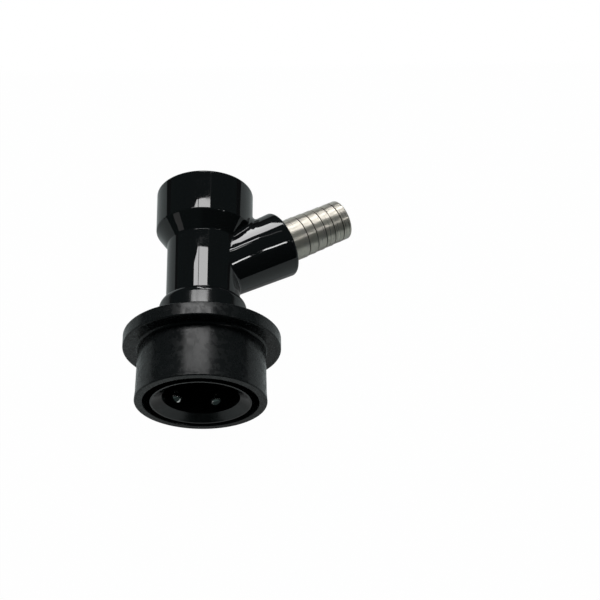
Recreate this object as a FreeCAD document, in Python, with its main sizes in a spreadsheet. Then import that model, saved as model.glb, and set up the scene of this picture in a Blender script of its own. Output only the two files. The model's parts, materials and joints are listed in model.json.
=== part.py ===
import FreeCAD, Part

import math
import os
import Sketcher

# Plastic ball-lock quick coupling with a stainless hose tail, as it lies on a table.
# Every piece is drawn about the coupling axis: height 0 is the mouth plane, and heights
# grow toward the cap. LYING then lays the whole coupling down: the mouth looks toward -Y
# and a little up, and the hose tail points toward +X and dips to the table.

SIZES = {
    # locking collar
    "collarStart": 0.2,
    "rimWall": 1.66,
    "rimLength": 0.5,
    "drumLowWall": 1.41,
    "drumLowHeight": 1.7,
    "drumTopWall": 1.17,
    "drumHeight": 11.95,
    "flangeReach": 3.35,
    "flangeThickness": 2.65,
    "camRise": 1.36,
    "camLength": 5.2,
    "landHeight": 0.7,
    "landClearance": 0.15,
    "collarEdgeRound": 0.3,
    "flangeRootFillet": 0.5,
    # housing skirt and the post bore inside it
    "skirtRadius": 10.23,
    "leadInWall": 0.33,
    "leadInDepth": 1.25,
    "guideBoreRadius": 7.88,
    "sealBoreRadius": 7.7,
    "sealBoreStart": 6.5,
    "sealBoreLength": 7.0,
    "reliefRadius": 7.0,
    "reliefLength": 4.0,
    "seatThickness": 3.0,
    "seatHoleRadius": 2.5,
    # spring rib, shoulder, neck and head of the housing
    "ribStart": 13.2,
    "collarSpringWallGap": 0.25,
    "ribClearance": 0.2,
    "shoulderStep": 1.4,
    "shoulderTop": 22.8,
    "shoulderRound": 1.8,
    "neckLowRadius": 7.7,
    "neckWidening": 0.1,
    "neckAboveBranch": 7.25,
    "neckTopRound": 0.6,
    "headConeHeight": 3.4,
    "headWall": 1.3,
    "headHeight": 9.45,
    "headRimRound": 0.6,
    "headRound": 0.6,
    # valve chamber and cap seat
    "chamberRadius": 5.6,
    "threadRadius": 7.6,
    "capSocketDepth": 9.4,
    "capFlangeThickness": 1.9,
    "capFlangeLedge": 1.2,
    "capClearance": 0.1,
    "capNoseClearance": 0.2,
    "capNoseLength": 2.5,
    "slotWidth": 2.2,
    "slotDepth": 2.0,
    # side boss and hose tail
    "branchAboveShoulder": 6.35,
    "branchAngle": 60.0,
    "bossLength": 19.5,
    "bossEndRadius": 7.22,
    "bossRootRadius": 6.28,
    "bossRound": 0.6,
    "bossFillet": 0.8,
    "tailReach": 15.35,
    "tailBoreRadius": 3.0,
    "tailRidgeRadius": 4.62,
    "tailRidgeTaper": 0.06,
    "tailRidgeDepth": 0.14,
    "tailRidgeCount": 5,
    "tailRidgePitch": 2.24,
    "tailTipBand": 2.0,
    "tailCrestLength": 0.7,
    "tailTipRound": 0.4,
    "tailRootStart": 10.0,
    "tailRootFlange": 2.0,
    "tailRootStep": 0.22,
    "tailFlangeRadius": 5.2,
    "insertClearance": 0.02,
    # locking balls
    "ballRadius": 1.75,
    "ballHeight": 4.4,
    "ballPocketClearance": 0.05,
    "camClearance": 0.02,
    "ballCount": 6,
    # springs
    "collarSpringWire": 0.8,
    "collarSpringTurns": 3.5,
    "poppetSpringWire": 0.6,
    "poppetSpringRadius": 3.0,
    "poppetSpringTurns": 8,
    "springCupClearance": 0.3,
    "wireSides": 8,
    # poppet and O-rings
    "stemRadius": 1.6,
    "stemStart": 14.0,
    "poppetHeadRadius": 4.6,
    "poppetHeadThickness": 1.5,
    "guideClearance": 0.15,
    "guideWidth": 1.6,
    "guideCount": 4,
    "spigotLength": 3.0,
    "spigotClearance": 0.4,
    "sealSection": 1.4,
    "poppetSealRadius": 3.1,
    "sealBoreClearance": 0.05,
    "capSealRadius": 6.5,
}

os.makedirs("parts", exist_ok=True)
document = FreeCAD.newDocument("QuickCoupling")
sheet = document.addObject("Spreadsheet::Sheet", "Sizes")
for row, (name, value) in enumerate(SIZES.items(), start=1):
    sheet.set(f"A{row}", name)
    sheet.set(f"B{row}", str(value))
    sheet.setAlias(f"B{row}", name)
document.recompute()


class Length:
    """A number together with the sheet formula that gives it."""

    def __init__(self, number, formula):
        self.number = number
        self.formula = formula

    def __add__(self, other):
        other = as_length(other)
        return Length(self.number + other.number, f"({self.formula} + {other.formula})")

    def __sub__(self, other):
        other = as_length(other)
        return Length(self.number - other.number, f"({self.formula} - {other.formula})")

    def __mul__(self, other):
        other = as_length(other)
        return Length(self.number * other.number, f"({self.formula} * {other.formula})")

    def __truediv__(self, other):
        other = as_length(other)
        return Length(self.number / other.number, f"({self.formula} / {other.formula})")

    def root(self):
        return Length(math.sqrt(self.number), f"sqrt({self.formula})")


def as_length(value):
    return value if isinstance(value, Length) else Length(float(value), repr(float(value)))


def size(name):
    return Length(float(sheet.get(name)), f"Sizes.{name}")


# Heights and radii that follow from the driving sizes.
drum_top = size("drumHeight")
collar_top = drum_top + size("flangeThickness")
land_radius = size("skirtRadius") + size("landClearance")
cam_end = size("collarStart") + size("camLength")
cam_mouth_radius = land_radius + size("camRise")
cam_slope = size("camRise") / size("camLength")
spring_ledge = cam_end + size("landHeight")
collar_spring_radius = land_radius + size("collarSpringWallGap") + size("collarSpringWire") / 2
collar_bore = collar_spring_radius + size("collarSpringWire") / 2 + size("collarSpringWallGap")
rib_radius = collar_bore - size("ribClearance")
rim_radius = cam_mouth_radius + size("rimWall")
drum_low_radius = cam_mouth_radius + size("drumLowWall")
drum_top_radius = collar_bore + size("drumTopWall")
flange_radius = drum_top_radius + size("flangeReach")
lead_in_radius = size("skirtRadius") - size("leadInWall")
shoulder_radius = size("neckLowRadius") + size("shoulderStep")
seal_bore_end = size("sealBoreStart") + size("sealBoreLength")
relief_end = seal_bore_end + size("reliefLength")
seat_height = relief_end + size("seatThickness")
branch_height = size("shoulderTop") + size("branchAboveShoulder")
neck_top = branch_height + size("neckAboveBranch")
neck_top_radius = size("neckLowRadius") + size("neckWidening")
cap_flange_radius = size("threadRadius") + size("capFlangeLedge")
head_radius = cap_flange_radius + size("capClearance") + size("headWall")
head_start = neck_top + size("headConeHeight")
head_top = head_start + size("headHeight")
cap_seat_height = head_top - size("capSocketDepth")
cap_flange_height = head_top - size("capFlangeThickness")
cap_bottom = cap_seat_height + size("sealSection")
cap_nose_bottom = cap_seat_height - size("capNoseLength")
poppet_head_height = seat_height + size("sealSection")
poppet_head_top = poppet_head_height + size("poppetHeadThickness")
seal_neck_radius = size("poppetSealRadius") - size("sealSection") / 2 - size("sealBoreClearance")
# Six balls rest against the cam cone: the cone's normal at the contact sets their orbit.
ball_orbit = (
    cam_mouth_radius
    - cam_slope * (size("ballHeight") - size("collarStart"))
    - (size("ballRadius") + size("camClearance")) * (cam_slope * cam_slope + 1).root()
)
pocket_radius = size("ballRadius") + size("ballPocketClearance")
tail_end = size("bossLength") + size("tailReach")
tail_root_radius = size("tailRidgeRadius") - size("tailRootStep")
tail_tip_radius = size("tailRidgeRadius") - size("tailRidgeTaper") * size("tailRidgeCount")
overrun = 1.0


def origin_item(body, role):
    """One of a body's own origin planes or axes, found by its role."""
    return next(item for item in body.Origin.OriginFeatures if item.Role == role)


def new_body(label):
    body = document.addObject("PartDesign::Body", label)
    body.Label = label
    return body


def new_sketch(body, name, plane="XZ_Plane"):
    sketch = body.newObject("Sketcher::SketchObject", name)
    sketch.AttachmentSupport = [(origin_item(body, plane), "")]
    sketch.MapMode = "FlatFace"
    return sketch


def turned_sketch(body, name, height, angle):
    """A sketch on the XZ plane whose own upright axis starts at a height and leans toward +X."""
    sketch = new_sketch(body, name)
    sketch.AttachmentOffset = FreeCAD.Placement(
        FreeCAD.Vector(0, height.number, 0),
        FreeCAD.Rotation(FreeCAD.Vector(0, 0, -1), angle.number),
    )
    sketch.setExpression("AttachmentOffset.Base.y", height.formula)
    sketch.setExpression("AttachmentOffset.Rotation.Angle", angle.formula)
    return sketch


def pin_point(constraints, formulas, geometry, end, x, y):
    """Hold a point at x, y from the sketch's origin. A plain 0 puts it on the axis."""
    for kind, axis, value in (("DistanceX", -2, x), ("DistanceY", -1, y)):
        if isinstance(value, Length):
            constraints.append(Sketcher.Constraint(kind, -1, 1, geometry, end, value.number))
            formulas[len(constraints) - 1] = value.formula
        elif value == 0:
            constraints.append(Sketcher.Constraint("PointOnObject", geometry, end, axis))
        else:
            constraints.append(Sketcher.Constraint(kind, -1, 1, geometry, end, float(value)))


def draw_outline(sketch, corners):
    """A closed outline of straight lines. A corner is x, y or x, y and a rounding radius."""
    places = [FreeCAD.Vector(as_length(c[0]).number, as_length(c[1]).number, 0) for c in corners]
    entries, exits, arcs = [], [], {}
    for index, corner in enumerate(corners):
        place = places[index]
        if len(corner) == 2:
            entries.append(place)
            exits.append(place)
            continue
        back = (places[index - 1] - place).normalize()
        ahead = (places[(index + 1) % len(corners)] - place).normalize()
        half_angle = back.getAngle(ahead) / 2
        reach = corner[2].number / math.tan(half_angle)
        centre = place + (back + ahead).normalize() * (corner[2].number / math.sin(half_angle))
        entries.append(place + back * reach)
        exits.append(place + ahead * reach)
        arcs[index] = (centre, corner[2])
    constraints, formulas = [], {}
    lines = []
    for index in range(len(corners)):
        end = entries[(index + 1) % len(corners)]
        lines.append(sketch.addGeometry(Part.LineSegment(exits[index], end), False))
    for index, corner in enumerate(corners):
        before, after = lines[index - 1], lines[index]
        if index not in arcs:
            constraints.append(Sketcher.Constraint("Coincident", before, 2, after, 1))
            pin_point(constraints, formulas, after, 1, corner[0], corner[1])
            continue
        centre, radius = arcs[index]
        start = math.atan2(entries[index].y - centre.y, entries[index].x - centre.x)
        stop = math.atan2(exits[index].y - centre.y, exits[index].x - centre.x)
        sweep = (stop - start) % (2 * math.pi)
        backward = sweep > math.pi
        entry_end, exit_end = (2, 1) if backward else (1, 2)
        if backward:
            start, sweep = stop, 2 * math.pi - sweep
        circle = Part.Circle(centre, FreeCAD.Vector(0, 0, 1), radius.number)
        arc = sketch.addGeometry(Part.ArcOfCircle(circle, start, start + sweep), False)
        constraints.append(Sketcher.Constraint("Tangent", before, 2, arc, entry_end))
        constraints.append(Sketcher.Constraint("Tangent", after, 1, arc, exit_end))
        constraints.append(Sketcher.Constraint("Radius", arc, radius.number))
        formulas[len(constraints) - 1] = radius.formula
        apex = sketch.addGeometry(Part.Point(places[index]), True)
        constraints.append(Sketcher.Constraint("PointOnObject", apex, 1, before))
        constraints.append(Sketcher.Constraint("PointOnObject", apex, 1, after))
        pin_point(constraints, formulas, apex, 1, corner[0], corner[1])
    sketch.addConstraint(constraints)
    for index, formula in formulas.items():
        sketch.setExpression(f"Constraints[{index}]", formula)


def turn_profile(body, sketch, kind, name):
    """Revolve a sketch about its own upright axis, as a Revolution or a Groove."""
    feature = body.newObject(f"PartDesign::{kind}", name)
    feature.Profile = sketch
    feature.ReferenceAxis = (sketch, ["V_Axis"])
    feature.Angle = 360.0
    body.Tip = feature
    return feature


def repeat_round_axis(body, feature, count, name):
    pattern = body.newObject("PartDesign::PolarPattern", name)
    pattern.Originals = [feature]
    pattern.Axis = (origin_item(body, "Z_Axis"), [""])
    pattern.Angle = 360.0
    pattern.Occurrences = int(count.number)
    pattern.setExpression("Occurrences", count.formula)
    body.Tip = pattern
    return pattern


def make_locking_collar():
    """Drum with a finger flange and flared rim outside; cam cone, land and spring bore inside."""
    body = new_body("locking_collar")
    edge = size("collarEdgeRound")
    ring = new_sketch(body, "CollarSection")
    draw_outline(ring, [
        (cam_mouth_radius, size("collarStart")),
        (rim_radius, size("collarStart"), edge / 2),
        (rim_radius, size("collarStart") + size("rimLength")),
        (drum_low_radius, size("drumLowHeight")),
        (drum_top_radius, drum_top, size("flangeRootFillet")),
        (flange_radius, drum_top, edge),
        (flange_radius, collar_top, edge),
        (collar_bore, collar_top),
        (collar_bore, spring_ledge),
        (land_radius, spring_ledge),
        (land_radius, cam_end),
    ])
    turn_profile(body, ring, "Revolution", "CollarRing")
    return body


def make_housing():
    """One moulding: skirt, spring rib, shoulder, neck, head and side boss, bored out in steps."""
    body = new_body("housing")
    outside = new_sketch(body, "HousingOutside")
    draw_outline(outside, [
        (0, 0),
        (size("skirtRadius"), 0),
        (size("skirtRadius"), size("ribStart")),
        (rib_radius, size("ribStart")),
        (rib_radius, collar_top),
        (shoulder_radius, collar_top),
        (shoulder_radius, size("shoulderTop"), size("shoulderRound")),
        (size("neckLowRadius"), size("shoulderTop")),
        (neck_top_radius, neck_top, size("neckTopRound")),
        (head_radius, head_start, size("headRimRound")),
        (head_radius, head_top, size("headRound")),
        (0, head_top),
    ])
    turn_profile(body, outside, "Revolution", "HousingBlank")

    boss = turned_sketch(body, "BossSection", branch_height, size("branchAngle"))
    draw_outline(boss, [
        (0, 0),
        (size("bossRootRadius"), 0),
        (size("bossEndRadius"), size("bossLength"), size("bossRound")),
        (0, size("bossLength")),
    ])
    joined = turn_profile(body, boss, "Revolution", "Boss")
    document.recompute()
    fillet = body.newObject("PartDesign::Fillet", "BossFillet")
    fillet.Base = (joined, boss_root_edges(joined.Shape))
    fillet.Radius = size("bossFillet").number
    fillet.setExpression("Radius", size("bossFillet").formula)
    body.Tip = fillet

    bore = new_sketch(body, "PostBoreAndChamber")
    draw_outline(bore, [
        (0, -overrun),
        (lead_in_radius, -overrun),
        (lead_in_radius, 0),
        (size("guideBoreRadius"), size("leadInDepth")),
        (size("guideBoreRadius"), size("sealBoreStart")),
        (size("sealBoreRadius"), size("sealBoreStart")),
        (size("sealBoreRadius"), seal_bore_end),
        (size("reliefRadius"), seal_bore_end),
        (size("reliefRadius"), relief_end),
        (size("seatHoleRadius"), relief_end),
        (size("seatHoleRadius"), seat_height),
        (size("chamberRadius"), seat_height),
        (size("chamberRadius"), cap_seat_height),
        (size("threadRadius"), cap_seat_height),
        (size("threadRadius"), cap_flange_height),
        (cap_flange_radius + size("capClearance"), cap_flange_height),
        (cap_flange_radius + size("capClearance"), head_top + overrun),
        (0, head_top + overrun),
    ])
    turn_profile(body, bore, "Groove", "PostBore")

    seat = turned_sketch(body, "TailSeatSection", branch_height, size("branchAngle"))
    gap = size("insertClearance")
    flange_end = size("tailRootStart") + size("tailRootFlange")
    draw_outline(seat, [
        (0, 0),
        (size("tailBoreRadius"), 0),
        (size("tailBoreRadius"), size("tailRootStart")),
        (size("tailFlangeRadius") + gap, size("tailRootStart")),
        (size("tailFlangeRadius") + gap, flange_end + gap),
        (tail_root_radius + gap, flange_end + gap),
        (tail_root_radius + gap, size("bossLength") + overrun),
        (0, size("bossLength") + overrun),
    ])
    turn_profile(body, seat, "Groove", "TailSeat")

    quarter = Length(90.0, "90")
    pocket = turned_sketch(body, "BallPocketSection", size("ballHeight"), quarter)
    draw_ball_pocket(pocket)
    cut = turn_profile(body, pocket, "Groove", "BallPocket")
    repeat_round_axis(body, cut, size("ballCount"), "BallPockets")
    return body


def boss_root_edges(shape):
    """Names of the edges where the side boss runs into the neck, cone and head."""
    angle = math.radians(SIZES["branchAngle"])
    start = FreeCAD.Vector(0, 0, branch_height.number)
    along = FreeCAD.Vector(math.sin(angle), 0, math.cos(angle))
    widening = (SIZES["bossEndRadius"] - SIZES["bossRootRadius"]) / SIZES["bossLength"]
    last = SIZES["bossLength"] - 2 * SIZES["bossRound"]
    names = []
    for number, edge in enumerate(shape.Edges, start=1):
        if isinstance(edge.Curve, Part.Line):
            continue
        places = [(point - start) for point in edge.discretize(9)]
        on_boss = [
            place.dot(along) < last
            and abs((place - along * place.dot(along)).Length
                    - SIZES["bossRootRadius"] - widening * place.dot(along)) < 0.01
            for place in places
        ]
        if all(on_boss):
            names.append(f"Edge{number}")
    return names


def draw_ball_pocket(sketch):
    """A round-bottomed hole that a ball drops into from outside and can't fall through."""
    centre = FreeCAD.Vector(0, ball_orbit.number, 0)
    radius = pocket_radius.number
    outer = size("skirtRadius") + overrun
    circle = Part.Circle(centre, FreeCAD.Vector(0, 0, 1), radius)
    bottom = sketch.addGeometry(Part.ArcOfCircle(circle, -math.pi / 2, 0.0), False)
    corners = [
        FreeCAD.Vector(radius, ball_orbit.number, 0),
        FreeCAD.Vector(radius, outer.number, 0),
        FreeCAD.Vector(0, outer.number, 0),
        FreeCAD.Vector(0, ball_orbit.number - radius, 0),
    ]
    wall, top, axis = [
        sketch.addGeometry(Part.LineSegment(start, end), False)
        for start, end in zip(corners, corners[1:])
    ]
    constraints = [
        Sketcher.Constraint("Coincident", bottom, 2, wall, 1),
        Sketcher.Constraint("Coincident", wall, 2, top, 1),
        Sketcher.Constraint("Coincident", top, 2, axis, 1),
        Sketcher.Constraint("Coincident", axis, 2, bottom, 1),
        Sketcher.Constraint("PointOnObject", bottom, 3, -2),
        Sketcher.Constraint("PointOnObject", top, 2, -2),
        Sketcher.Constraint("PointOnObject", axis, 2, -2),
        Sketcher.Constraint("Horizontal", bottom, 3, wall, 1),
        Sketcher.Constraint("Vertical", wall),
        Sketcher.Constraint("Horizontal", top),
        Sketcher.Constraint("Radius", bottom, radius),
        Sketcher.Constraint("DistanceY", -1, 1, bottom, 3, ball_orbit.number),
        Sketcher.Constraint("DistanceY", -1, 1, top, 2, outer.number),
    ]
    sketch.addConstraint(constraints)
    for index, length in zip((10, 11, 12), (pocket_radius, ball_orbit, outer)):
        sketch.setExpression(f"Constraints[{index}]", length.formula)


def make_hose_tail():
    """Stainless tube with a root flange inside the boss and low saw-tooth ridges outside."""
    body = new_body("hose_tail")
    root, gap = size("tailRootStart"), size("insertClearance")
    corners = [
        (size("tailBoreRadius"), root),
        (size("tailFlangeRadius"), root),
        (size("tailFlangeRadius"), root + size("tailRootFlange")),
        (tail_root_radius, root + size("tailRootFlange")),
        (tail_root_radius, size("bossLength") + gap),
        (size("tailRidgeRadius"), size("bossLength") + gap),
    ]
    # The bands get a shade thinner toward the tip. Each ends in a small step down, and the
    # next rises from there to its own straight crest.
    count = int(size("tailRidgeCount").number)
    for index in range(count):
        step = tail_end - size("tailTipBand") - size("tailRidgePitch") * (count - 1 - index)
        crest = size("tailRidgeRadius") - size("tailRidgeTaper") * index
        corners += [(crest, step), (crest - size("tailRidgeDepth"), step)]
        if index < count - 1:
            rise_end = step + size("tailRidgePitch") - size("tailCrestLength")
            corners.append((crest - size("tailRidgeTaper"), rise_end))
    corners += [
        (tail_tip_radius, tail_end, size("tailTipRound")),
        (size("tailBoreRadius"), tail_end),
    ]
    section = new_sketch(body, "TailSection")
    draw_outline(section, corners)
    turn_profile(body, section, "Revolution", "TailTube")
    return body


def make_poppet():
    """Valve with a long stem below the seat, guide ribs on its head and a spring spigot."""
    body = new_body("poppet")
    section = new_sketch(body, "PoppetSection")
    spigot = size("poppetSpringRadius") - size("poppetSpringWire") / 2 - size("spigotClearance")
    draw_outline(section, [
        (0, size("stemStart")),
        (size("stemRadius"), size("stemStart")),
        (size("stemRadius"), seat_height),
        (seal_neck_radius, seat_height + size("sealBoreClearance")),
        (seal_neck_radius, poppet_head_height),
        (size("poppetHeadRadius"), poppet_head_height),
        (size("poppetHeadRadius"), poppet_head_top),
        (spigot, poppet_head_top),
        (spigot, poppet_head_top + size("spigotLength")),
        (0, poppet_head_top + size("spigotLength")),
    ])
    turn_profile(body, section, "Revolution", "PoppetTurning")

    guide = new_sketch(body, "GuideSection", "XY_Plane")
    guide.AttachmentOffset = FreeCAD.Placement(
        FreeCAD.Vector(0, 0, poppet_head_height.number), FreeCAD.Rotation()
    )
    guide.setExpression("AttachmentOffset.Base.z", poppet_head_height.formula)
    reach = size("chamberRadius") - size("guideClearance")
    half_width = size("guideWidth") / 2
    draw_outline(guide, [
        (0, half_width * -1),
        (reach, half_width * -1),
        (reach, half_width),
        (0, half_width),
    ])
    rib = body.newObject("PartDesign::Pad", "Guide")
    rib.Profile = guide
    rib.Length = size("poppetHeadThickness").number
    rib.setExpression("Length", size("poppetHeadThickness").formula)
    body.Tip = rib
    repeat_round_axis(body, rib, size("guideCount"), "Guides")
    return body


def make_top_cap():
    """Screw plug: flange flush with the head, plain thread zone, hollow nose and a slot."""
    body = new_body("top_cap")
    section = new_sketch(body, "CapSection")
    thread = size("threadRadius") - size("capClearance")
    nose = size("chamberRadius") - size("capNoseClearance")
    cup = size("poppetSpringRadius") + size("poppetSpringWire") / 2 + size("springCupClearance")
    draw_outline(section, [
        (0, cap_seat_height),
        (cup, cap_seat_height),
        (cup, cap_nose_bottom),
        (nose, cap_nose_bottom),
        (nose, cap_bottom),
        (thread, cap_bottom),
        (thread, cap_flange_height),
        (cap_flange_radius, cap_flange_height),
        (cap_flange_radius, head_top),
        (0, head_top),
    ])
    turn_profile(body, section, "Revolution", "CapTurning")

    slot = new_sketch(body, "SlotSection", "XY_Plane")
    slot.AttachmentOffset = FreeCAD.Placement(
        FreeCAD.Vector(0, 0, head_top.number), FreeCAD.Rotation()
    )
    slot.setExpression("AttachmentOffset.Base.z", head_top.formula)
    half_length = cap_flange_radius + overrun
    half_width = size("slotWidth") / 2
    draw_outline(slot, [
        (half_length * -1, half_width * -1),
        (half_length, half_width * -1),
        (half_length, half_width),
        (half_length * -1, half_width),
    ])
    pocket = body.newObject("PartDesign::Pocket", "Slot")
    pocket.Profile = slot
    pocket.Length = size("slotDepth").number
    pocket.setExpression("Length", size("slotDepth").formula)
    body.Tip = pocket
    return body


def make_spring(label, mean_radius, wire, bottom, top, turns):
    """Open coil of faceted wire with both ends ground flat between two seats."""
    body = new_body(label)
    section = new_sketch(body, "WireSection")
    sides = int(size("wireSides").number)
    around = [2 * math.pi * (index + 0.5) / sides for index in range(sides)]
    draw_outline(section, [
        (mean_radius + wire / 2 * math.cos(angle), bottom + wire / 2 * math.sin(angle))
        for angle in around
    ])
    height = top - bottom
    coil = body.newObject("PartDesign::AdditiveHelix", "Coil")
    coil.Profile = section
    coil.ReferenceAxis = (section, ["V_Axis"])
    coil.Mode = "height-turns-growth"
    coil.Height = height.number
    coil.Turns = turns.number
    coil.setExpression("Height", height.formula)
    coil.setExpression("Turns", turns.formula)
    body.Tip = coil
    inner = mean_radius - wire
    outer = mean_radius + wire
    for name, face, away in (("BottomGrind", bottom, bottom - wire), ("TopGrind", top, top + wire)):
        grind = new_sketch(body, name + "Section")
        draw_outline(grind, [(inner, face), (outer, face), (outer, away), (inner, away)])
        turn_profile(body, grind, "Groove", name)
    return body


def make_o_ring(label, mean_radius, section, height):
    """A plain round rubber ring that rests on the seat at the given height."""
    ring = document.addObject("Part::Torus", label)
    ring.Label = label
    ring.setExpression("Radius1", mean_radius.formula)
    ring.setExpression("Radius2", (section / 2).formula)
    ring_heights[label] = height + section / 2
    return ring


def make_ball(label):
    ball = document.addObject("Part::Sphere", label)
    ball.Label = label
    ball.setExpression("Radius", size("ballRadius").formula)
    return ball


def lying_pose():
    """The coupling lies on its flange edge and head rim, rolled until the hose tail touches."""
    rise = (head_top - collar_top).number
    tilt = math.atan((flange_radius - head_radius).number / rise)
    to_branch = (branch_height - collar_top).number
    branch_clear = (flange_radius.number - to_branch * math.tan(tilt)) * math.cos(tilt)
    tip_radius = tail_tip_radius.number
    reach = math.hypot(tail_end.number, tip_radius)
    dip = math.asin(branch_clear / reach) - math.atan(tip_radius / tail_end.number)
    branch = math.radians(SIZES["branchAngle"])
    roll = math.asin(
        (math.sin(dip) - math.cos(branch) * math.sin(tilt)) / (math.sin(branch) * math.cos(tilt))
    )
    lay_down = FreeCAD.Rotation(FreeCAD.Vector(1, 0, 0), -90 - math.degrees(tilt))
    turn_tail = FreeCAD.Rotation(FreeCAD.Vector(0, 0, 1), math.degrees(roll))
    rotation = lay_down.multiply(turn_tail)
    middle = (size("sealBoreStart") + size("sealBoreLength") / 2).number
    return FreeCAD.Placement(rotation.multVec(FreeCAD.Vector(0, 0, -middle)), rotation)


ring_heights = {}
LYING = lying_pose()
BRANCH = FreeCAD.Placement(
    FreeCAD.Vector(0, 0, branch_height.number),
    FreeCAD.Rotation(FreeCAD.Vector(0, 1, 0), SIZES["branchAngle"]),
)

make_housing().Placement = LYING
make_locking_collar().Placement = LYING
make_hose_tail().Placement = LYING.multiply(BRANCH)
make_poppet().Placement = LYING
make_top_cap().Placement = LYING
make_spring(
    "collar_spring", collar_spring_radius, size("collarSpringWire"),
    spring_ledge, size("ribStart"), size("collarSpringTurns"),
).Placement = LYING
make_spring(
    "poppet_spring", size("poppetSpringRadius"), size("poppetSpringWire"),
    poppet_head_top, cap_seat_height, size("poppetSpringTurns"),
).Placement = LYING
for label, radius, seat in (
    ("poppet_seal", size("poppetSealRadius"), seat_height),
    ("cap_seal", size("capSealRadius"), cap_seat_height),
):
    seal = make_o_ring(label, radius, size("sealSection"), seat)
    height = FreeCAD.Vector(0, 0, ring_heights[label].number)
    seal.Placement = LYING.multiply(FreeCAD.Placement(height, FreeCAD.Rotation()))
for index in range(int(size("ballCount").number)):
    azimuth = 2 * math.pi * index / size("ballCount").number
    rest = FreeCAD.Vector(
        ball_orbit.number * math.cos(azimuth),
        ball_orbit.number * math.sin(azimuth),
        SIZES["ballHeight"],
    )
    ball = make_ball(f"locking_ball_{index + 1}")
    ball.Placement = LYING.multiply(FreeCAD.Placement(rest, FreeCAD.Rotation()))

document.recompute()
pieces = [item for item in document.Objects if item.isDerivedFrom("PartDesign::Body")]
pieces += [item for item in document.Objects if item.TypeId in ("Part::Torus", "Part::Sphere")]
for item in document.Objects:
    if "Invalid" in item.State or "Error" in item.State:
        raise RuntimeError(f"{item.Name} failed: {item.State}")
for piece in pieces:
    if piece.Shape.isNull() or not piece.Shape.isValid():
        raise RuntimeError(f"{piece.Label} has no valid shape")
    print(piece.Label, "volume", round(piece.Shape.Volume, 1), "solids", len(piece.Shape.Solids))
for piece in pieces:
    piece.Shape.exportStep(f"parts/{piece.Label}.step")
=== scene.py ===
import json
import math
import bpy
import numpy as np
from mathutils import Matrix, Vector


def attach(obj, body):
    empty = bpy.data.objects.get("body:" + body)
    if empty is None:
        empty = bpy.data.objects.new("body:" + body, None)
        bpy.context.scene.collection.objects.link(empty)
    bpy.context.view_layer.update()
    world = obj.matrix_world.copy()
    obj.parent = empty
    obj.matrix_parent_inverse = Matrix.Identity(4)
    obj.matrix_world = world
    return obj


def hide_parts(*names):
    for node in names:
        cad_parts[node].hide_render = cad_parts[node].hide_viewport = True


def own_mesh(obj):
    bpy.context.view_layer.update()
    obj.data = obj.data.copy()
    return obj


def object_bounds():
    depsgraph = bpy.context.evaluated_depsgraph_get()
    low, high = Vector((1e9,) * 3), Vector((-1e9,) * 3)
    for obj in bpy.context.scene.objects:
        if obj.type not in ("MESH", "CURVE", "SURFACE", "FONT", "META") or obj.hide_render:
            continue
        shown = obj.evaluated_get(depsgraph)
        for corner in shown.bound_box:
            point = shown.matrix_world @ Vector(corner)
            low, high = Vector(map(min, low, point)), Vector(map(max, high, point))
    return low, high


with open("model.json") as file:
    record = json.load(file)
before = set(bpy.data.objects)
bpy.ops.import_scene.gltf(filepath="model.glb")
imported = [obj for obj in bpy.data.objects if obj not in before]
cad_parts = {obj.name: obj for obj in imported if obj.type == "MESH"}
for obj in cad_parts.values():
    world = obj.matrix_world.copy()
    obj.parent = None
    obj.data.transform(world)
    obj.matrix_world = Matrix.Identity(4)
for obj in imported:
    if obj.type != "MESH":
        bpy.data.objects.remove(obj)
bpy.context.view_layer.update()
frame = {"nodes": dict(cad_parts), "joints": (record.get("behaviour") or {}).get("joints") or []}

# The coupling's own axes, read from its joints: capWard runs along the main axis from the
# mouth to the cap, sideWard points to the side that the hose tail leaves from.
jointAxis = {joint["name"]: Vector(joint["axis"]) for joint in frame["joints"]}
capWard = jointAxis["collar_slide"].normalized()
sideWard = jointAxis["ball_1_slide"].normalized()
backWard = capWard.cross(sideWard)
mouth = {"distance": 0.010}  # from the frame's origin, which lies inside the post bore
mouthPoint = -capWard * mouth["distance"]
couplingTurn = Matrix((sideWard, backWard, capWard)).transposed()
branch = {"height": 0.02915, "angle": 60.0}
branchAngle = math.radians(branch["angle"])
tailWard = sideWard * math.sin(branchAngle) + capWard * math.cos(branchAngle)
branchPoint = mouthPoint + capWard * branch["height"]
tailTurn = Matrix((tailWard.cross(backWard) * -1, backWard, tailWard)).transposed()
print("frame loaded, main axis", [round(v, 3) for v in capWard])


camera = {
    "elevation": 71.402,
    "azimuth": 0.158,
    "roll": -1.18,
    "distance": 0.2782,
    "aim": (0.02023, 0.01251, -0.001),
    "frameWidth": 0.1245,
}


def placeCamera():
    elevation, azimuth, roll = (math.radians(camera[k]) for k in ("elevation", "azimuth", "roll"))
    toCamera = Vector((
        math.sin(azimuth) * math.cos(elevation),
        -math.cos(azimuth) * math.cos(elevation),
        math.sin(elevation),
    ))
    level = Vector((math.cos(azimuth), math.sin(azimuth), 0))
    upward = toCamera.cross(level)
    right = level * math.cos(roll) + upward * math.sin(roll)
    up = upward * math.cos(roll) - level * math.sin(roll)
    data = bpy.data.cameras.new("camera")
    data.sensor_width = 36
    data.lens = 36 * camera["distance"] / camera["frameWidth"]
    data.clip_start, data.clip_end = 0.01, 20
    shot = bpy.data.objects.new("camera", data)
    bpy.context.scene.collection.objects.link(shot)
    turn = Matrix((right, up, toCamera)).transposed().to_4x4()
    shot.matrix_world = Matrix.Translation(Vector(camera["aim"]) + toCamera * camera["distance"]) @ turn
    bpy.context.scene.camera = shot


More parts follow.
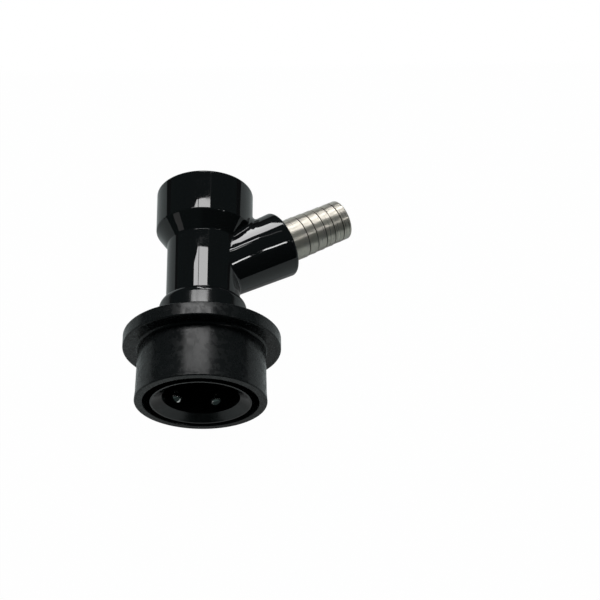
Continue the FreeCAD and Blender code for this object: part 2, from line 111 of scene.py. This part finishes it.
room = {
    "floorSize": 6.0,
    "tableColor": (0.04, 0.04, 0.04),
    "paperColor": (0.42, 0.5, 0.5),
    "shadowShare": 0.01,
    "lightDistance": 12.0,
    "windowStrength": 10.5,
    "leftPane": ((-25.5, 15.0), (-12.0, 15.0), (-12.0, 29.9), (-15.0, 29.9), (-25.5, 29.2)),
    "rightPane": ((-10.4, 15.0), (16.5, 15.0), (16.5, 29.9), (-10.4, 29.9)),
    "ceiling": 0.06,
    "ceilingColor": (0.7, 1.0, 1.0),
    "darkSide": 0.025,
    "ceilingEdge": 26.0,
    "ceilingFade": (-0.02, 0.04),
    "paperEdge": 0.075,
    "paperEdgeSoft": 0.001,
    "paperGlow": 0.22,
}

# Other bright things in the room. Corners of a lamp are (around, along) about the hose tail's
# axis in degrees, and those of the grey wall (azimuth from +Y toward +X, elevation).
tailLights = {
    "farWindow": {"strength": 10.5, "corners": (
        (-73.0, 15.0), (-42.0, 15.0), (-47.0, 18.2), (-44.0, 19.0),
        (-44.0, 19.7), (-70.0, 19.7), (-79.0, 18.7), (-74.0, 18.2))},
    "tipWindow": {"strength": 6.5, "corners": ((-54.0, 22.0), (-41.0, 22.0), (-41.0, 32.0), (-54.0, 32.0))},
    "lampOne": {"strength": 18.0, "corners": ((18.6, 15.9), (22.6, 15.9), (18.5, 16.9), (14.5, 16.9))},
    "lampTwo": {"strength": 18.0, "corners": ((13.9, 17.5), (17.9, 17.5), (22.8, 18.5), (18.8, 18.5))},
    "lampThree": {"strength": 8.0, "corners": ((24.6, 21.0), (28.2, 21.0), (28.2, 30.0), (24.6, 30.0))},
    "blindEdge": {"strength": 14.0, "corners": ((-35.0, 17.1), (-32.6, 17.1), (-31.0, 18.1), (-33.4, 18.1))},
    "blindCord": {"strength": 2.0, "corners": ((-33.4, 18.1), (-31.6, 18.1), (-20.6, 18.8), (-22.4, 18.8))},
}
roomLights = {
    "greyWall": {"strength": 0.55, "corners": (
        (-118.5, 14.5), (-112.5, 14.5), (-112.5, 31.0), (-118.5, 31.0))},
}


def makeMesh(name, points, faces):
    mesh = bpy.data.meshes.new(name)
    mesh.from_pydata(np.asarray(points, float).tolist(), [], faces)
    thing = bpy.data.objects.new(name, mesh)
    bpy.context.scene.collection.objects.link(thing)
    return thing


def newMaterial(name):
    material = bpy.data.materials.new(name)
    material.use_nodes = True
    nodes = material.node_tree.nodes
    nodes.clear()
    output = nodes.new("ShaderNodeOutputMaterial")
    return material, nodes, material.node_tree.links, output


def directionAbout(axis, sideways, around, along):
    overhead = (Vector((0, 0, 1)) - axis * axis.z).normalized()
    a, b = math.radians(around), math.radians(along)
    return (overhead * math.cos(a) + sideways(overhead) * math.sin(a)) * math.cos(b) + axis * math.sin(b)


def directionInRoom(across, along):
    # across turns about the main axis from straight up, along leans toward the cap
    return directionAbout(capWard, lambda overhead: Vector((1, 0, 0)), across, along)


def directionFromAngles(azimuth, elevation):
    a, e = math.radians(azimuth), math.radians(elevation)
    return Vector((math.cos(e) * math.sin(a), math.cos(e) * math.cos(a), math.sin(e)))


def directionAboutTail(around, along):
    # around turns about the tail's axis from straight up toward the mouth's side, along leans to its tip
    return directionAbout(tailWard, tailWard.cross, around, along)


def combine(nodes, links, operation, first, second=0.0):
    node = nodes.new("ShaderNodeMath")
    node.operation = operation
    for socket, value in zip(node.inputs, (first, second)):
        if isinstance(value, float):
            socket.default_value = value
        else:
            links.new(value, socket)
    return node.outputs[0]


def mixColors(nodes, links, share, first, second):
    mix = nodes.new("ShaderNodeMix")
    mix.data_type = "RGBA"
    for value, socket in ((share, mix.inputs[0]), (first, mix.inputs[6]), (second, mix.inputs[7])):
        if isinstance(value, tuple):
            socket.default_value = (*value, 1)
        else:
            links.new(value, socket)
    return mix.outputs[2]


def lightPanel(name, direction, corners, strength):
    # each side of the pane is walked in small angle steps, so a long side keeps its angle
    corners = np.array(corners)
    share = np.arange(8)[None, :, None] / 8
    walk = (corners[:, None] * (1 - share) + np.roll(corners, -1, axis=0)[:, None] * share).reshape(-1, 2)
    points = [direction(*angles) * room["lightDistance"] for angles in walk]
    panel = makeMesh(name, points, [list(range(len(walk)))])
    material, nodes, links, output = newMaterial(name)
    glow = nodes.new("ShaderNodeEmission")
    glow.inputs["Strength"].default_value = strength
    links.new(glow.outputs[0], output.inputs["Surface"])
    panel.data.materials.append(material)
    panel.visible_camera = False
    return panel


def buildRoom():
    low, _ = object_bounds()
    half, z = room["floorSize"] / 2, low[2]
    corners = [(-half, -half, z), (half, -half, z), (half, half, z), (-half, half, z)]
    floor = makeMesh("table", corners, [(0, 1, 2, 3)])
    material, nodes, links, output = newMaterial("tableWhite")
    # White paper lies on a dark table and ends behind the coupling. The camera sees white all over
    # with a trace of shadow; mirror rays see the paper as the lamps light it, shadow and all.
    board = nodes.new("ShaderNodeBsdfDiffuse")
    coordinate = nodes.new("ShaderNodeTexCoord")
    split = nodes.new("ShaderNodeSeparateXYZ")
    links.new(coordinate.outputs["Object"], split.inputs[0])
    edge, soft = room["paperEdge"], room["paperEdgeSoft"]
    paperHere = mapTo(nodes, links, split.outputs["Y"], edge - soft, edge + soft, 1, 0)
    boardColor = mixColors(nodes, links, paperHere, room["tableColor"], room["paperColor"])
    links.new(boardColor, board.inputs["Color"])
    paper = nodes.new("ShaderNodeEmission")
    paper.inputs["Strength"].default_value = 1.0
    path = nodes.new("ShaderNodeLightPath")
    direct = mapTo(nodes, links, paperHere, 0, 1, 1, 1 - room["shadowShare"])
    fromCamera = combine(nodes, links, "MULTIPLY", path.outputs["Is Camera Ray"], direct)
    paperMirrored = combine(nodes, links, "MULTIPLY", path.outputs["Is Glossy Ray"], paperHere)
    mirrored = combine(nodes, links, "MULTIPLY", paperMirrored, room["paperGlow"])
    blend = nodes.new("ShaderNodeMixShader")
    links.new(combine(nodes, links, "ADD", fromCamera, mirrored), blend.inputs["Fac"])
    links.new(board.outputs[0], blend.inputs[1])
    links.new(paper.outputs[0], blend.inputs[2])
    links.new(blend.outputs[0], output.inputs["Surface"])
    floor.data.materials.append(material)

    for name in ("leftPane", "rightPane"):
        lightPanel(name, directionInRoom, room[name], room["windowStrength"])
    for name, light in tailLights.items():
        lightPanel(name, directionAboutTail, light["corners"], light["strength"])
    for name, light in roomLights.items():
        lightPanel(name, directionFromAngles, light["corners"], light["strength"])

    world = bpy.data.worlds.new("room")
    bpy.context.scene.world = world
    world.use_nodes = True
    nodes, links = world.node_tree.nodes, world.node_tree.links
    nodes.clear()
    output = nodes.new("ShaderNodeOutputWorld")
    sky = nodes.new("ShaderNodeBackground")
    sky.inputs["Color"].default_value = (*room["ceilingColor"], 1)
    # a dim ceiling on one side of a plane through the tail's axis, a darker wall on the other
    coordinate = nodes.new("ShaderNodeTexCoord")
    side = nodes.new("ShaderNodeVectorMath")
    side.operation = "DOT_PRODUCT"
    side.inputs[1].default_value = directionAboutTail(room["ceilingEdge"] + 90, 0)
    links.new(coordinate.outputs["Generated"], side.inputs[0])
    toward = side.outputs["Value"]
    level = mapTo(nodes, links, toward, *room["ceilingFade"], room["ceiling"], room["darkSide"])
    links.new(level, sky.inputs["Strength"])
    backdrop = nodes.new("ShaderNodeBackground")
    backdrop.inputs["Color"].default_value = (1, 1, 1, 1)
    path = nodes.new("ShaderNodeLightPath")
    blend = nodes.new("ShaderNodeMixShader")
    links.new(path.outputs["Is Camera Ray"], blend.inputs["Fac"])
    links.new(sky.outputs[0], blend.inputs[1])
    links.new(backdrop.outputs[0], blend.inputs[2])
    links.new(blend.outputs[0], output.inputs["Surface"])


def shadeAlong(nodes, links, origin=mouthPoint, axes=couplingTurn):
    # pattern coordinates in the piece's own axes: the mouth's centre and main axis, or the tail's
    coordinate = nodes.new("ShaderNodeTexCoord")
    turn = nodes.new("ShaderNodeMapping")
    turn.vector_type = "TEXTURE"
    turn.inputs["Location"].default_value = origin
    turn.inputs["Rotation"].default_value = axes.to_euler()
    links.new(coordinate.outputs["Object"], turn.inputs["Vector"])
    return turn.outputs["Vector"]


def stretched(nodes, links, vector, scale):
    stretch = nodes.new("ShaderNodeMapping")
    stretch.inputs["Scale"].default_value = scale
    links.new(vector, stretch.inputs["Vector"])
    return stretch.outputs["Vector"]


def colorRamp(nodes, links, value, stops):
    ramp = nodes.new("ShaderNodeValToRGB")
    while len(ramp.color_ramp.elements) < len(stops):
        ramp.color_ramp.elements.new(0.5)
    for element, (place, color) in zip(ramp.color_ramp.elements, stops):
        element.position, element.color = place, (*color, 1)
    links.new(value, ramp.inputs["Fac"])
    return ramp.outputs["Color"]


def noiseOn(nodes, links, vector, scale, detail=2.0, roughness=0.5):
    noise = nodes.new("ShaderNodeTexNoise")
    noise.inputs["Scale"].default_value = scale
    noise.inputs["Detail"].default_value = detail
    noise.inputs["Roughness"].default_value = roughness
    links.new(vector, noise.inputs["Vector"])
    return noise.outputs["Fac"]


def mapTo(nodes, links, value, *limits):
    # limits: the value's lowest and highest, then what each of them becomes
    ranged = nodes.new("ShaderNodeMapRange")
    for socket, number in zip(("From Min", "From Max", "To Min", "To Max"), limits):
        ranged.inputs[socket].default_value = number
    links.new(value, ranged.inputs["Value"])
    return ranged.outputs["Result"]


def bumpFrom(nodes, links, height, distance):
    bump = nodes.new("ShaderNodeBump")
    bump.inputs["Distance"].default_value = distance
    bump.inputs["Strength"].default_value = 1.0
    links.new(height, bump.inputs["Height"])
    return bump.outputs["Normal"]


glossBlack = {
    "color": (0.0045, 0.005, 0.0055), "mirror": 1.5,
    "roughness": (0.008, 0.03), "hazeScale": 160,
    "wave": 0.000003, "waveScale": 220,
    "rubbed": 0.15, "rubbedTo": (0.0208, 0.0224),
}


def glossBlackPlastic():
    material, nodes, links, output = newMaterial("polishedBlackPlastic")
    shader = nodes.new("ShaderNodeBsdfPrincipled")
    shader.inputs["Base Color"].default_value = (*glossBlack["color"], 1)
    shader.inputs["IOR"].default_value = glossBlack["mirror"]
    vector = shadeAlong(nodes, links)
    haze = noiseOn(nodes, links, vector, glossBlack["hazeScale"], 3)
    polish = mapTo(nodes, links, haze, 0.35, 0.65, *glossBlack["roughness"])
    # the collar's rubbing has dulled the shoulder
    split = nodes.new("ShaderNodeSeparateXYZ")
    links.new(vector, split.inputs[0])
    rubbed = mapTo(nodes, links, split.outputs["Z"], *glossBlack["rubbedTo"], glossBlack["rubbed"], 0)
    links.new(combine(nodes, links, "ADD", polish, rubbed), shader.inputs["Roughness"])
    # a slow swell, as moulded plastic has
    swell = noiseOn(nodes, links, vector, glossBlack["waveScale"], 1)
    links.new(bumpFrom(nodes, links, swell, glossBlack["wave"]), shader.inputs["Normal"])
    links.new(shader.outputs[0], output.inputs["Surface"])
    return material


satinBlack = {
    "color": (0.0075, 0.0085, 0.009), "mirror": 1.33,
    "roughness": (0.18, 0.35), "hazeScale": 750,
    "mottle": 0.0000003, "mottleScale": 1500,
}


def satinBlackPlastic():
    material, nodes, links, output = newMaterial("satinBlackPlastic")
    shader = nodes.new("ShaderNodeBsdfPrincipled")
    shader.inputs["Base Color"].default_value = (*satinBlack["color"], 1)
    shader.inputs["IOR"].default_value = satinBlack["mirror"]
    vector = shadeAlong(nodes, links)
    haze = noiseOn(nodes, links, vector, satinBlack["hazeScale"], 5, 0.6)
    links.new(mapTo(nodes, links, haze, 0.42, 0.6, *satinBlack["roughness"]), shader.inputs["Roughness"])
    mottle = noiseOn(nodes, links, vector, satinBlack["mottleScale"], 3)
    links.new(bumpFrom(nodes, links, mottle, satinBlack["mottle"]), shader.inputs["Normal"])
    links.new(shader.outputs[0], output.inputs["Surface"])
    return material


turnedSteel = {
    "tones": ((0.3, (0.50, 0.47, 0.41)), (0.5, (0.58, 0.545, 0.475)), (0.72, (0.53, 0.49, 0.445))),
    "roughness": (0.27, 0.33),
    "brushed": 0.65,
    "metal": 0.7,
    "marks": (120, 120, 2500),  # noise per metre: across, across, along
    "stain": 420,
    "firstGroove": 0.02393, "grooveStep": 0.00224,
    # the groove colour, its share and its width paint shade into the grooves
    "paintedGrooveShade": (0.02, 0.018, 0.015), "paintedGrooveShadeShare": 0.88, "paintedGrooveShadeWidth": (0.000072, 0.000144),
}


def turnedStainless():
    material, nodes, links, output = newMaterial("turnedStainless")
    shader = nodes.new("ShaderNodeBsdfPrincipled")
    shader.inputs["Metallic"].default_value = turnedSteel["metal"]
    vector = shadeAlong(nodes, links, branchPoint, tailTurn)
    stain = noiseOn(nodes, links, vector, turnedSteel["stain"], 3)
    tone = colorRamp(nodes, links, stain, turnedSteel["tones"])
    # painted shade in the grooves: dark where the height is near a whole number of groove steps
    split = nodes.new("ShaderNodeSeparateXYZ")
    links.new(vector, split.inputs[0])
    pastFirst = combine(nodes, links, "SUBTRACT", split.outputs["Z"], turnedSteel["firstGroove"])
    steps = combine(nodes, links, "DIVIDE", pastFirst, turnedSteel["grooveStep"])
    away = combine(nodes, links, "SUBTRACT", steps, combine(nodes, links, "ROUND", steps))
    away = combine(nodes, links, "ABSOLUTE", away)
    inner, outer = (width / turnedSteel["grooveStep"] for width in turnedSteel["paintedGrooveShadeWidth"])
    near = mapTo(nodes, links, away, inner, outer, turnedSteel["paintedGrooveShadeShare"], 0)
    paintedGrooveShade = combine(nodes, links, "MULTIPLY", near, combine(nodes, links, "GREATER_THAN", steps, -0.5))
    links.new(mixColors(nodes, links, paintedGrooveShade, tone, turnedSteel["paintedGrooveShade"]), shader.inputs["Base Color"])
    # turned finish: the light spreads along the tail, and fine noise drawn out round it varies the gloss
    marks = noiseOn(nodes, links, stretched(nodes, links, vector, turnedSteel["marks"]), 1.0, 3, 0.6)
    links.new(mapTo(nodes, links, marks, 0.34, 0.66, *turnedSteel["roughness"]), shader.inputs["Roughness"])
    shader.inputs["Anisotropic"].default_value = turnedSteel["brushed"]
    shader.inputs["Anisotropic Rotation"].default_value = 0.25
    tangent = nodes.new("ShaderNodeTangent")
    tangent.direction_type = "UV_MAP"
    tangent.uv_map = "turning"
    links.new(tangent.outputs[0], shader.inputs["Tangent"])
    links.new(shader.outputs[0], output.inputs["Surface"])
    return material


plainFinishes = {
    "polishedBallSteel": {"color": (0.7, 0.69, 0.67), "roughness": 0.08, "metal": 1.0},
    "drawnSpringWire": {"color": (0.55, 0.55, 0.54), "roughness": 0.3, "metal": 1.0},
    "greyValvePlastic": {"color": (0.3, 0.3, 0.29), "roughness": 0.4, "metal": 0.0},
    "sealRubber": {"color": (0.012, 0.012, 0.012), "roughness": 0.5, "metal": 0.0},
}
plainGrain = {"scale": 600, "bump": 0.00001, "spread": 0.25}


def plainFinish(name):
    finish = plainFinishes[name]
    material, nodes, links, output = newMaterial(name)
    shader = nodes.new("ShaderNodeBsdfPrincipled")
    shader.inputs["Base Color"].default_value = (*finish["color"], 1)
    shader.inputs["Metallic"].default_value = finish["metal"]
    vector = shadeAlong(nodes, links)
    haze = noiseOn(nodes, links, vector, plainGrain["scale"], 3)
    low, high = (finish["roughness"] * (1 + sign * plainGrain["spread"]) for sign in (-1, 1))
    links.new(mapTo(nodes, links, haze, 0.3, 0.7, low, high), shader.inputs["Roughness"])
    links.new(bumpFrom(nodes, links, haze, plainGrain["bump"]), shader.inputs["Normal"])
    links.new(shader.outputs[0], output.inputs["Surface"])
    return material


def roundCorners(corners, steps=6, support=0.04):
    # A closed outline with its corners rounded: each corner (radius, height, rounding) gives an arc
    # tangent to both sides, and a point just outside each arc end keeps the flats' shading flat.
    points = []
    places = [np.array(c[:2], float) for c in corners]
    for index, corner in enumerate(corners):
        place = places[index]
        if len(corner) == 2:
            points.append(place)
            continue
        back = places[index - 1] - place
        ahead = places[(index + 1) % len(corners)] - place
        back, ahead = back / np.linalg.norm(back), ahead / np.linalg.norm(ahead)
        half = math.acos(float(np.clip(back @ ahead, -1, 1))) / 2
        reach = corner[2] / math.tan(half)
        middle = place + (back + ahead) / np.linalg.norm(back + ahead) * (corner[2] / math.sin(half))
        share = np.linspace(0, 1, steps + 1)
        sweep = math.pi - 2 * half
        first, last = place + back * reach - middle, place + ahead * reach - middle
        angles = share * sweep * np.sign(first[0] * last[1] - first[1] * last[0])
        arc = np.stack((
            first[0] * np.cos(angles) - first[1] * np.sin(angles),
            first[0] * np.sin(angles) + first[1] * np.cos(angles),
        ), axis=1) + middle
        points += [place + back * (reach + support), *arc, place + ahead * (reach + support)]
    return np.array(points)


def turnedPiece(name, outline, foot, turn, around):
    # A closed outline of (radius, height) points carried round an axis: point = foot + turn times
    # (radius cos a, radius sin a, height). u runs round the axis, v along the outline in metres.
    radius, height = outline[:, 0], outline[:, 1]
    angle = np.linspace(0, 2 * np.pi, around, endpoint=False)
    local = np.stack((
        radius[:, None] * np.cos(angle), radius[:, None] * np.sin(angle),
        np.repeat(height[:, None], around, 1)), axis=-1)
    points = local.reshape(-1, 3) @ np.array(turn).T + np.array(foot)
    rows, columns = np.meshgrid(np.arange(len(radius)), np.arange(around), indexing="ij")
    nextRow, nextColumn = (rows + 1) % len(radius), (columns + 1) % around
    quads = np.stack((
        rows * around + columns, rows * around + nextColumn,
        nextRow * around + nextColumn, nextRow * around + columns), axis=-1).reshape(-1, 4)
    area = np.sum(radius * np.roll(height, -1) - np.roll(radius, -1) * height)
    if area < 0:  # the outline runs the other way round, so the faces turn to point outward
        quads = quads[:, ::-1]
    piece = makeMesh(name, points, quads.tolist())
    uv = piece.data.uv_layers.new(name="turning")
    corners = np.empty(len(piece.data.loops), int)
    piece.data.loops.foreach_get("vertex_index", corners)
    run = np.concatenate(([0], np.cumsum(np.hypot(*(np.diff(outline, axis=0)).T))))
    u = (corners % around) / around
    ownQuad = np.repeat(u.reshape(-1, 4).max(1) > 0.9, 4)
    u = np.where(ownQuad & (u < 0.1), u + 1, u)
    uv.data.foreach_set("uv", np.stack((u, run[corners // around]), axis=1).astype(np.float32).ravel())
    piece.data.shade_smooth()
    piece.data.set_sharp_from_angle(angle=math.radians(38))
    return piece


head = {
    "coneStart": 0.0364, "start": 0.0398, "top": 0.04925, "radius": 0.0102, "wall": 0.0091, "fade": 0.0116,
    "lowGrow": 0.00006, "flare": 0.00012, "lean": 0.0256,
}


def reshapedHousing():
    # The housing's own surface with the head drawn out: outside radius = radius + lowGrow + flare *
    # share of the head's height, fading out where the side boss starts. Corner normals lean with it.
    source = frame["nodes"]["housing"].data
    places = np.empty(len(source.vertices) * 3)
    source.vertices.foreach_get("co", places)
    places = places.reshape(-1, 3)
    corners = np.empty(len(source.loops), int)
    source.loops.foreach_get("vertex_index", corners)
    normals = np.empty(len(source.loops) * 3)
    source.corner_normals.foreach_get("vector", normals)
    normals = normals.reshape(-1, 3, 3)
    # points that coincide become one, so the surface is closed
    cells = np.round(places / 2e-7).astype(np.int64)
    _, first, inverse = np.unique(cells, axis=0, return_index=True, return_inverse=True)
    points = places[first]
    faces = inverse.reshape(-1)[corners].reshape(-1, 3)
    whole = (faces[:, 0] != faces[:, 1]) & (faces[:, 1] != faces[:, 2]) & (faces[:, 2] != faces[:, 0])
    faces, normals = faces[whole], normals[whole]
    turn = np.array(couplingTurn)
    local = (points - np.array(mouthPoint)) @ turn
    radius = np.hypot(local[:, 0], local[:, 1])
    out = local[:, :2] / np.maximum(radius, 1e-9)[:, None]
    height = local[:, 2]
    share = np.clip((height - head["start"]) / (head["top"] - head["start"]), 0, 1)
    overCone = np.clip((height - head["coneStart"]) / (head["start"] - head["coneStart"]), 0, 1)
    outer = (radius > head["wall"]) * np.clip((head["fade"] - radius) / (head["fade"] - head["radius"]), 0, 1)
    grow = (head["lowGrow"] + head["flare"] * share) * outer * overCone
    local[:, :2] += out * grow[:, None]
    lean = ((share > 0) * outer * head["lean"])[faces]
    localNormal = normals @ turn
    outward = np.sum(localNormal[..., :2] * out[faces], axis=-1)
    localNormal[..., 2] -= lean * outward
    localNormal /= np.linalg.norm(localNormal, axis=-1, keepdims=True)
    piece = makeMesh("housingShell", local @ turn.T + np.array(mouthPoint), faces.tolist())
    piece.data.shade_smooth()
    piece.data.normals_split_custom_set((localNormal @ turn.T).reshape(-1, 3).tolist())
    return piece


tail = {
    "bore": 3.0, "rootStart": 10.0, "rootFlange": 2.0, "flange": 5.2, "root": 4.4,
    "bossEnd": 19.52, "end": 34.95, "ridge": 4.66, "thinning": 0.05,
    "lines": (23.89, 26.13, 28.37, 30.61, 32.85),
    "grooveWidth": 0.28, "grooveDepth": 0.28, "grooveOffset": 0.04,
    "crown": 0.06, "crestRound": 0.14, "tipRound": 0.35,
}


def tailOutline():
    # Along each band the radius rises in a low arch to a rounded crest before its groove: radius =
    # band radius + crown * (x^2 - 1), less a quarter round at the crest and a V groove after it.
    along = np.linspace(tail["bossEnd"], tail["end"] - tail["tipRound"], 420)
    lines = np.array(tail["lines"])
    band = np.searchsorted(lines, along)
    starts = np.concatenate(([tail["bossEnd"]], lines))[band]
    ends = np.concatenate((lines, [tail["end"]]))[band]
    x = np.clip((along - starts) / (ends - starts), 0, 1)
    banded = band < len(lines)
    radius = tail["ridge"] - tail["thinning"] * band + tail["crown"] * (x ** 2 - 1) * banded
    toCrest = np.clip(1 - (ends - along) / tail["crestRound"], 0, 1)
    radius -= np.where(banded, tail["crestRound"] * (1 - np.sqrt(1 - toCrest ** 2 * 0.8)), 0)
    for line in lines + tail["grooveOffset"]:
        radius -= tail["grooveDepth"] * np.clip(1 - np.abs(along - line) / (tail["grooveWidth"] / 2), 0, 1)
    tip = radius[-1]
    bend = np.linspace(0, np.pi / 2, 8)[1:]
    tipRadius = tip - tail["tipRound"] + tail["tipRound"] * np.cos(bend)
    tipAlong = tail["end"] - tail["tipRound"] + tail["tipRound"] * np.sin(bend)
    outside = np.stack((np.concatenate((radius, tipRadius)), np.concatenate((along, tipAlong))), axis=1)
    rootEnd = tail["rootStart"] + tail["rootFlange"]
    inside = np.array([
        (tail["bore"] + 0.1, tail["end"]), (tail["bore"], tail["end"] - 0.1),
        (tail["bore"], tail["rootStart"]), (tail["flange"], tail["rootStart"]),
        (tail["flange"], rootEnd), (tail["root"], rootEnd), (tail["root"], tail["bossEnd"])])
    return np.concatenate((outside, inside)) / 1000


collar = {
    "start": 0.02, "rim": 13.4, "drumLow": 13.24, "drumTop": 13.08, "drumHeight": 11.68,
    "flange": 16.2, "top": 14.6, "bore": 11.68, "ledge": 6.1, "land": 10.4, "camEnd": 5.4, "camMouth": 11.77,
    "edge": 0.3, "root": 0.45, "mouthEdge": 0.25,
}


def collarOutline():
    c = collar
    return roundCorners([
        (c["camMouth"], c["start"], 0.12), (c["rim"], c["start"], c["mouthEdge"]),
        (c["drumLow"], c["start"] + 2),
        (c["drumTop"], c["drumHeight"], c["root"]), (c["flange"], c["drumHeight"], c["edge"]),
        (c["flange"], c["top"], c["edge"]), (c["bore"], c["top"], 0.15), (c["bore"], c["ledge"]),
        (c["land"], c["ledge"]), (c["land"], c["camEnd"]),
    ]) / 1000


springs = {
    "collar_spring": {
        "piece": "collarSpring", "body": "spring", "joint": "collar_slide", "travel": 3.2,
        "radius": 11.03, "wire": 0.8, "bottom": 6.1, "top": 13.2, "turns": 3.5},
    "poppet_spring": {
        "piece": "poppetSpring", "body": "housing", "joint": "poppet_slide", "travel": 3.0,
        "radius": 3.0, "wire": 0.6, "bottom": 23.4, "top": 39.85, "turns": 8},
}


def springPiece(node):
    # A round wire carried along a coil: centre = (radius cos a, radius sin a, height), where the height
    # climbs evenly but stays level in the first and last half turn. The ends are closed by flat faces.
    c = springs[node]
    half, perTurn, sides = c["wire"] / 2, 72, 16
    turns = np.linspace(0, c["turns"], int(c["turns"] * perTurn) + 1)
    climb = np.clip((turns - 0.5) / (c["turns"] - 1), 0, 1)
    height = c["bottom"] + half + (c["top"] - c["bottom"] - c["wire"]) * climb
    angle = 2 * np.pi * turns
    section = np.linspace(0, 2 * np.pi, sides, endpoint=False)
    radius = c["radius"] + half * np.cos(section)[None, :]
    local = np.stack((
        radius * np.cos(angle)[:, None], radius * np.sin(angle)[:, None],
        height[:, None] + half * np.sin(section)[None, :]), axis=-1).reshape(-1, 3) / 1000
    points = local @ np.array(couplingTurn).T + np.array(mouthPoint)
    rows, columns = np.meshgrid(np.arange(len(turns) - 1) * sides, np.arange(sides), indexing="ij")
    ahead = (columns + 1) % sides
    quads = np.stack((
        rows + columns, rows + sides + columns, rows + sides + ahead, rows + ahead), axis=-1).reshape(-1, 4)
    lastRing = np.arange(sides) + (len(turns) - 1) * sides
    ends = [list(range(sides)), lastRing[::-1].tolist()]
    piece = makeMesh(c["piece"], points, quads.tolist() + ends)
    piece.data.shade_smooth()
    piece.data.set_sharp_from_angle(angle=math.radians(50))
    piece.data.materials.append(springSteel)
    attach(piece, c["body"])
    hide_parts(node)
    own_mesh(piece)
    return piece


def dress(node, material):
    thing = frame["nodes"][node]
    thing.data.materials.clear()
    thing.data.materials.append(material)


placeCamera()
buildRoom()
print("camera, table and window placed")

gloss, satin, stainless = glossBlackPlastic(), satinBlackPlastic(), turnedStainless()
ballSteel, springSteel, greyPlastic, rubber = (plainFinish(name) for name in plainFinishes)
dress("top_cap", gloss)
housingPiece = reshapedHousing()
housingPiece.data.materials.append(gloss)
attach(housingPiece, "housing")
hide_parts("housing")
print("housing shell", len(housingPiece.data.polygons), "faces")

collarPiece = turnedPiece("lockingCollar", collarOutline(), mouthPoint, couplingTurn, 288)
collarPiece.data.materials.append(satin)
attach(collarPiece, "collar")
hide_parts("locking_collar")

tailPiece = turnedPiece("hoseTail", tailOutline(), branchPoint, tailTurn, 160)
tailPiece.data.materials.append(stainless)
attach(tailPiece, "housing")
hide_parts("hose_tail")
print("collar and hose tail turned")

dress("poppet", greyPlastic)
for node in ("poppet_seal", "cap_seal"):
    dress(node, rubber)
for node in springs:
    springPiece(node)
for node in frame["nodes"]:
    if node.startswith("locking_ball"):
        dress(node, ballSteel)
print("finishes given")

bpy.context.scene.view_settings.view_transform = "Standard"
